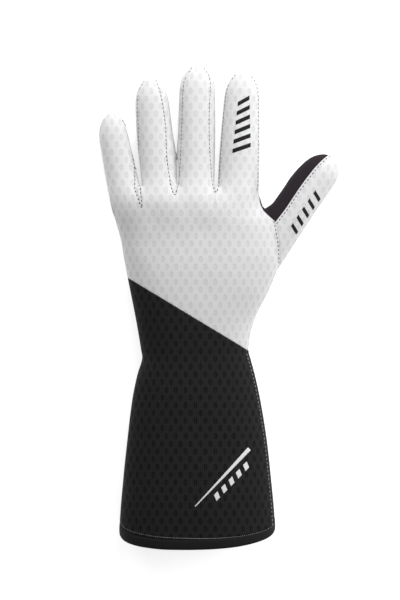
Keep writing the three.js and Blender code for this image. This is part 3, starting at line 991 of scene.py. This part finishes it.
def suede_material():
    """Dark suede with a short nap."""
    if "suede_leather" in bpy.data.materials:
        return bpy.data.materials["suede_leather"]
    suede = bpy.context.scene.glove_colours.suede
    material, tree, shader = blank_material("suede_leather")
    calc = partial(math_node, tree)
    grain, patch = nap_on(tree, {})
    soft = calc("MULTIPLY_ADD", grain, 0.6, calc("MULTIPLY", patch, 0.5))
    dress(tree, shader, mix_colour(tree, soft, opaque(suede), opaque(suede, 1.55)),
          calc("MULTIPLY_ADD", patch, 0.1, 0.82), 0.1, grain, 0.4, 0.00008)
    fill(tree, shader, {"Sheen Weight": 0.02, "Sheen Roughness": 0.5})
    return material


def thread_like(name, colour, roughness, mottle):
    """Plain tape, thread or print ink with a fine woven mottle."""
    if name in bpy.data.materials:
        return bpy.data.materials[name]
    material, tree, shader = blank_material(name)
    grain, patch = nap_on(tree, {"Grain Scale": 1500.0, "Patch Scale": 120.0})
    dress(tree, shader, mix_colour(tree, grain, opaque(colour, 1 - mottle), opaque(colour)),
          math_node(tree, "MULTIPLY_ADD", patch, 0.08, roughness), 0.2, grain, 0.3, 0.00008)
    return material


def panel_piece(node_name, material, thickness, share=1.0):
    bm = Form.get().take(node_name)
    lay_out_cloth(bm, node_name)
    piece = finish_piece(bm, node_name + "_cloth", material, [node_name])
    if share < 1:
        thin_out(piece, share)
    give_wall(piece, thickness)


# Sizes and colours


def length(name, description, default):
    return bpy.props.FloatProperty(name=name, description=description, default=default, min=0,
                                   unit="LENGTH", precision=5)


def part_of(name, description, default):
    return bpy.props.FloatProperty(name=name, description=description, default=default, min=0.1, max=1)


def colour(name, description, default):
    return bpy.props.FloatVectorProperty(name=name, description=description, default=default,
                                         subtype="COLOR", size=3, min=0, max=1)


class GloveSizes(bpy.types.PropertyGroup):
    """Sizes that a user would change"""

    surface_step: length("Surface step", "Spacing of the points on the glove's skin", 0.00085)
    gauntlet_share: part_of("Gauntlet share", "Share of the skin's faces that the gauntlet keeps", 0.75)
    knit_wall: length("Knit wall", "Thickness of the lined knit", 0.0015)
    suede_wall: length("Suede wall", "Thickness of the lined suede", 0.0015)
    binding_wall: length("Binding wall", "Thickness of the folded tape at the hem", 0.0024)
    binding_bulge: length("Binding bulge", "How far the hem's tape stands proud", 0.0003)
    seam_depth: length("Seam depth", "How far the cloth rolls in at a seam", 0.0003)
    seam_width: length("Seam width", "How wide the rolled edge beside a seam is", 0.0016)
    oval_step_across: length("Oval step across", "Spacing of the knit's ovals in a row", 0.0069)
    oval_step_along: length("Oval step along", "Spacing of the rows of ovals", 0.00535)
    oval_width: length("Oval width", "Width of one oval", 0.0029)
    oval_length: length("Oval length", "Length of one oval", 0.0043)
    rib_step: length("Rib step", "Spacing of the knit's fine ribs", 0.0014)
    stitch_step: length("Stitch step", "Spacing of the stitches", 0.00285)
    stitch_length: length("Stitch length", "Length of one stitch", 0.0020)
    stitch_width: length("Stitch width", "Thickness of the thread", 0.00065)
    print_lift: length("Print lift", "How far a print stands off the cloth", 0.00012)


class GloveColours(bpy.types.PropertyGroup):
    """Colours that a user would change"""

    pale_ground: colour("Pale knit", "Ground of the pale knit", (0.74, 0.74, 0.745))
    # The pale ovals' grey is partly the knit's pattern, partly painted shade in the sunken ovals
    pale_oval_tone_and_shade: colour("Pale oval tone and shade", "Ovals in the pale knit, partly painted shade in their hollows", (0.54, 0.54, 0.55))
    pale_rib: colour("Pale ribs", "Fine ribs of the pale knit", (0.60, 0.60, 0.61))
    # A lighter colour laid along the dark knit's ribs: a painted sheen
    dark_rib_sheen: colour("Dark rib sheen", "Painted sheen on the fine ribs of the dark knit", (0.026, 0.026, 0.0265))
    dark_ground: colour("Dark knit", "Ground of the dark knit", (0.0150, 0.0150, 0.0153))
    # The dark ovals' deeper black is partly the knit's pattern, partly painted shade in the sunken ovals
    dark_oval_tone_and_shade: colour("Dark oval tone and shade", "Ovals in the dark knit, partly painted shade in their hollows", (0.0025, 0.0025, 0.0027))
    suede: colour("Suede", "Dark suede of the palm", (0.019, 0.0145, 0.018))
    tape: colour("Tape", "Folded tape at the hem", (0.0115, 0.0115, 0.012))
    pale_thread: colour("Thread on pale knit", "Stitches on the pale knit", (0.045, 0.045, 0.05))
    dark_thread: colour("Thread on dark knit", "Stitches on the gauntlet", (0.42, 0.42, 0.43))
    dark_print: colour("Dark print", "Bars on the forefinger and thumb", (0.006, 0.006, 0.006))
    pale_print: colour("Pale print", "Bars on the gauntlet", (0.86, 0.86, 0.86))
    floor: colour("Floor", "Surface that the glove lies on", (0.93, 0.93, 0.93))


# Pieces


class GLOVE_OT_knit_panels(bpy.types.Operator):
    """Pale knit: back of the hand, fourchettes and upper thumb"""

    bl_idname = "glove.knit_panels"
    bl_label = "Knit panels"

    def execute(self, context):
        for name in KNIT_PANELS:
            panel_piece(name, pale_knit(), context.scene.glove_sizes.knit_wall)
        return {"FINISHED"}


class GLOVE_OT_suede_panels(bpy.types.Operator):
    """Dark suede: palm and inner side of the thumb"""

    bl_idname = "glove.suede_panels"
    bl_label = "Suede panels"

    def execute(self, context):
        for name in SUEDE_PANELS:
            panel_piece(name, suede_material(), context.scene.glove_sizes.suede_wall)
        return {"FINISHED"}


class GLOVE_OT_gauntlet(bpy.types.Operator):
    """Dark knit gauntlet and the tape that binds its hem"""

    bl_idname = "glove.gauntlet"
    bl_label = "Gauntlet"

    def execute(self, context):
        sizes = context.scene.glove_sizes
        panel_piece("gauntlet", dark_knit(), sizes.knit_wall, sizes.gauntlet_share)
        tape = thread_like("folded_tape", context.scene.glove_colours.tape, 0.7, 0.5)
        panel_piece("cuff_binding", tape, sizes.binding_wall)
        return {"FINISHED"}


def walk(line, step):
    """Points at an even step along a line in plan, with the direction at each."""
    done = target = 0.0
    for a, b in zip(line, line[1:]):
        run = b - a
        while target <= done + run.length:
            yield a + run * ((target - done) / run.length), run.normalized()
            target += step
        done += run.length


def add_stitch(bm, place, normal, along, half_length, half_width, lift):
    """Lays one stitch on the cloth."""
    sideways = normal.cross(along).normalized()
    axes = Matrix((along, sideways, along.cross(sideways))).transposed().to_4x4()
    shape = Matrix.Diagonal((half_length, half_width, half_width * 0.8, 1))
    bmesh.ops.create_icosphere(bm, subdivisions=1, radius=1,
                               matrix=Matrix.Translation(place + normal * lift) @ axes @ shape)


def sew(bm, line, sizes, tree):
    """Lays a row of stitches on the glove along a line in plan."""
    for point, direction in walk(line, sizes.stitch_step / MM):
        place, normal = drop_on(tree, point.x, point.y)
        if place is None or normal.z < 0.12:
            continue
        ahead = drop_on(tree, *(point + direction * 0.5))[0]
        if ahead is None or (ahead - place).length > 1.5:
            continue
        add_stitch(bm, place, normal, (ahead - place).normalized(),
                   sizes.stitch_length / MM / 2, sizes.stitch_width / MM / 2, 0.06)


def edge_line(digit, side, inset, low, high):
    """A line just inside one side of a digit, from one share of its reach to another."""
    shares = [mix(low, high, i / 24) for i in range(25)]
    return [point_on(digit, share, side * (half_width(digit, share) - inset)) for share in shares]


def gauntlet_side_line(inset, low, high):
    """A line just inside the gauntlet's side under the thumb."""
    return [Vector((body_at(up)[1] - inset, up)) for up in (mix(low, high, i / 39) for i in range(40))]


class GLOVE_OT_stitches(bpy.types.Operator):
    """Rows of stitches beside the seams, and the light line above the hem"""

    bl_idname = "glove.stitches"
    bl_label = "Stitches"

    def execute(self, context):
        sizes, colours = context.scene.glove_sizes, context.scene.glove_colours
        tree = Form.get().tree
        pale = bmesh.new()
        rows = [fork_line(fork, 0.3)[1:-1] for fork in FORKS]
        rows += [edge_line(DIGITS["index"], 1, 1.3, 0.12, 0.97), thumb_seam(0.9), suede_line(1.5)[:-1]]
        for row in rows:
            sew(pale, row, sizes, tree)
        thread = thread_like("pale_thread", colours.pale_thread, 0.7, 0.3)
        finish_piece(pale, "hand_stitches", thread)
        dark = bmesh.new()
        sew(dark, gauntlet_side_line(1.9, SIDE_ROW_START, 2), sizes, tree)
        self.sew_hem(dark, tree)
        thread = thread_like("dark_thread", colours.dark_thread, 0.6, 0.3)
        finish_piece(dark, "gauntlet_stitches", thread)
        return {"FINISHED"}

    def sew_hem(self, bm, tree):
        """Stitches right round the gauntlet, just above its binding."""
        left, right, top = body_at(SIDE_ROW_START)
        slope = math.tan(HEM_SLANT)
        slant = HEM_POINT + HEM_NORMAL * (BINDING_WIDTH + 0.7)
        start = Vector(((left + right) / 2, 0, top * WIDEST_LEVEL))
        start.y = slant.y - (start.z - slant.z) * slope
        for i in range(HEM_STITCHES):
            angle = 2 * math.pi * i / HEM_STITCHES
            outward = Vector((math.sin(angle), -math.cos(angle) * slope, math.cos(angle))).normalized()
            place, normal = tree.ray_cast(start, outward)[:2]
            if place is None or place.z < 0.3:
                continue
            add_stitch(bm, place, normal, HEM_NORMAL.cross(normal).normalized(), *HEM_STITCH, 0.05)


class GLOVE_OT_prints(bpy.types.Operator):
    """Printed bars on the forefinger, the thumb and the gauntlet"""

    bl_idname = "glove.prints"
    bl_label = "Prints"

    def execute(self, context):
        colours = context.scene.glove_colours
        dark = thread_like("dark_print", colours.dark_print, 0.5, 0.2)
        pale = thread_like("pale_print", colours.pale_print, 0.5, 0.06)
        self.lay("back_panel", finger_bars(), "forefinger_print", dark, "dark_knit")
        self.lay("thumb_back", thumb_bars(), "thumb_print", dark, "dark_knit")
        self.lay("gauntlet", gauntlet_bars(), "gauntlet_print", pale, "pale_knit")
        return {"FINISHED"}

    def lay(self, node_name, shapes, name, material, slot):
        """Cuts each shape out of a panel's surface and lifts it off as a thin print."""
        lift = bpy.context.scene.glove_sizes.print_lift / MM
        patch = Form.get().take(node_name)
        within = box_test([corner for shape in shapes for corner in shape], 1)
        middles = ((face, face.calc_center_median()) for face in patch.faces)
        far = [face for face, c in middles if not (within(c) and c.z > SIDE_SEAM_HEIGHT + 1)]
        bmesh.ops.delete(patch, geom=far, context="FACES")
        parts = []
        for shape in shapes:
            part = patch.copy()
            for a, b in zip(shape, shape[1:] + shape[:1]):
                run = (b - a).normalized()
                cut_off(part, a.to_3d(), Vector((run.y, -run.x, 0)), 0.0005)
            parts.append(part)
        patch.free()
        whole = joined(parts)
        whole.normal_update()
        for v in whole.verts:
            v.co += v.normal * lift
        piece = finish_piece(whole, name, material)
        give_wall(piece, lift * MM * 0.8)


def slanted_bar(centre, along, width, thickness, slant):
    """Corners, anticlockwise, of a bar that runs across a direction, with its ends cut on a slant."""
    across = Vector((along.y, -along.x))
    half = across * (width / 2) + along * (slant / 2)
    rise = along * (thickness / 2)
    return [centre - half - rise, centre + half - rise, centre + half + rise, centre - half + rise]


def finger_bars():
    """Six dark bars up the forefinger, shorter towards the tip."""
    index = DIGITS["index"]
    rows = [(0.42, 12.5), (0.49, 11.6), (0.56, 10.7), (0.63, 9.8), (0.70, 8.9), (0.77, 8.0)]
    return [slanted_bar(point_on(index, share, 1.0), along_of(index), width, 3.0, 5.0)
            for share, width in rows]


def thumb_bars():
    """Five dark bars along the thumb's outer side."""
    thumb = DIGITS["thumb"]
    return [slanted_bar(point_on(thumb, share, 8.0), along_of(thumb), 6.4, 2.6, -3.0)
            for share in (0.42, 0.49, 0.56, 0.63, 0.70)]


def gauntlet_bars():
    """A pale stripe that tapers up the gauntlet, and five small bars below it."""
    low, high = Vector((0.0, -105.0)), Vector((38.5, -66.0))
    run = (high - low).normalized()
    out = Vector((-run.y, run.x))
    stripe = [low, high, high + out * 2.8, low + out * 0.7]
    bars = []
    for i in range(5):
        base = low + run * (13 + i * 7.2) - out * 7.6
        bars.append([base, base + run * 3.6, base + run * 5.4 + out * 4.2, base + run * 1.8 + out * 4.2])
    return [stripe] + bars


def add_light(name, place, width, power):
    light = bpy.data.lights.new(name, "AREA")
    light.shape = "DISK"
    light.size = width
    light.energy = power
    lamp = bpy.data.objects.new(name, light)
    lamp.location = place
    lamp.rotation_euler = (LIGHT_AIM - Vector(place)).to_track_quat("-Z", "Y").to_euler()
    bpy.context.scene.collection.objects.link(lamp)


class GLOVE_OT_stage(bpy.types.Operator):
    """Pale floor, soft studio light and the camera straight above"""

    bl_idname = "glove.stage"
    bl_label = "Stage"

    def execute(self, context):
        scene = context.scene
        bm = bmesh.new()
        bmesh.ops.create_grid(bm, x_segments=1, y_segments=1, size=3)
        bmesh.ops.translate(bm, verts=bm.verts, vec=(0, 0, -FLOOR_DROP))
        mesh = mesh_from(bm, "floor")
        floor = bpy.data.objects.new("floor", mesh)
        scene.collection.objects.link(floor)
        material, tree, shader = blank_material("floor")
        place = node(tree, "ShaderNodeTexCoord", {}).outputs["Object"]
        tone = scene.glove_colours.floor
        base = mix_colour(tree, noise_node(tree, place, 2.0, 2.0), opaque(tone), opaque(tone, 0.985))
        fill(tree, shader, {"Base Color": base, "Roughness": 0.9, "Specular IOR Level": 0.1,
                            "Emission Color": (1, 1, 1, 1), "Emission Strength": FLOOR_GLOW})
        mesh.materials.append(material)
        for light in LIGHTS:
            add_light(**light)
        world = bpy.data.worlds.new("studio")
        scene.world = world
        world.use_nodes = True
        background = world.node_tree.nodes["Background"]
        fill(world.node_tree, background, {"Color": (1, 1, 1, 1), "Strength": WORLD_STRENGTH})
        camera = bpy.data.cameras.new("camera")
        camera.sensor_fit = "VERTICAL"
        camera.sensor_height = 36
        camera.sensor_width = 24
        camera.lens = 250
        camera.clip_end = 20
        holder = bpy.data.objects.new("camera", camera)
        distance = VIEW_HEIGHT * camera.lens / camera.sensor_height
        holder.location = Vector(VIEW_CENTRE) + Vector((0, 0, distance))
        scene.collection.objects.link(holder)
        scene.camera = holder
        scene.view_settings.view_transform = "Standard"
        return {"FINISHED"}


class GLOVE_PT_panel(bpy.types.Panel):
    """Sizes, colours and pieces of the glove"""

    bl_idname = "GLOVE_PT_panel"
    bl_label = "Gauntlet Glove"
    bl_space_type = "VIEW_3D"
    bl_region_type = "UI"
    bl_category = "Glove"

    def draw(self, context):
        layout = self.layout
        for group in (context.scene.glove_sizes, context.scene.glove_colours):
            box = layout.box()
            for name in group.bl_rna.properties.keys():
                if name not in ("rna_type", "name"):
                    box.prop(group, name)
        for operator in OPERATORS:
            layout.operator(operator.bl_idname)


OPERATORS = [GLOVE_OT_knit_panels, GLOVE_OT_suede_panels, GLOVE_OT_gauntlet, GLOVE_OT_stitches,
             GLOVE_OT_prints, GLOVE_OT_stage]
CLASSES = [GloveSizes, GloveColours] + OPERATORS + [GLOVE_PT_panel]


def register():
    for cls in CLASSES:
        bpy.utils.register_class(cls)
    bpy.types.Scene.glove_sizes = bpy.props.PointerProperty(type=GloveSizes)
    bpy.types.Scene.glove_colours = bpy.props.PointerProperty(type=GloveColours)


def unregister():
    del bpy.types.Scene.glove_colours
    del bpy.types.Scene.glove_sizes
    for cls in reversed(CLASSES):
        bpy.utils.unregister_class(cls)


def main():
    register()
    bpy.ops.glove.knit_panels()
    bpy.ops.glove.suede_panels()
    bpy.ops.glove.gauntlet()
    bpy.ops.glove.stitches()
    bpy.ops.glove.prints()
    bpy.ops.glove.stage()
    bpy.context.view_layer.update()


if __name__ == "__main__":
    main()
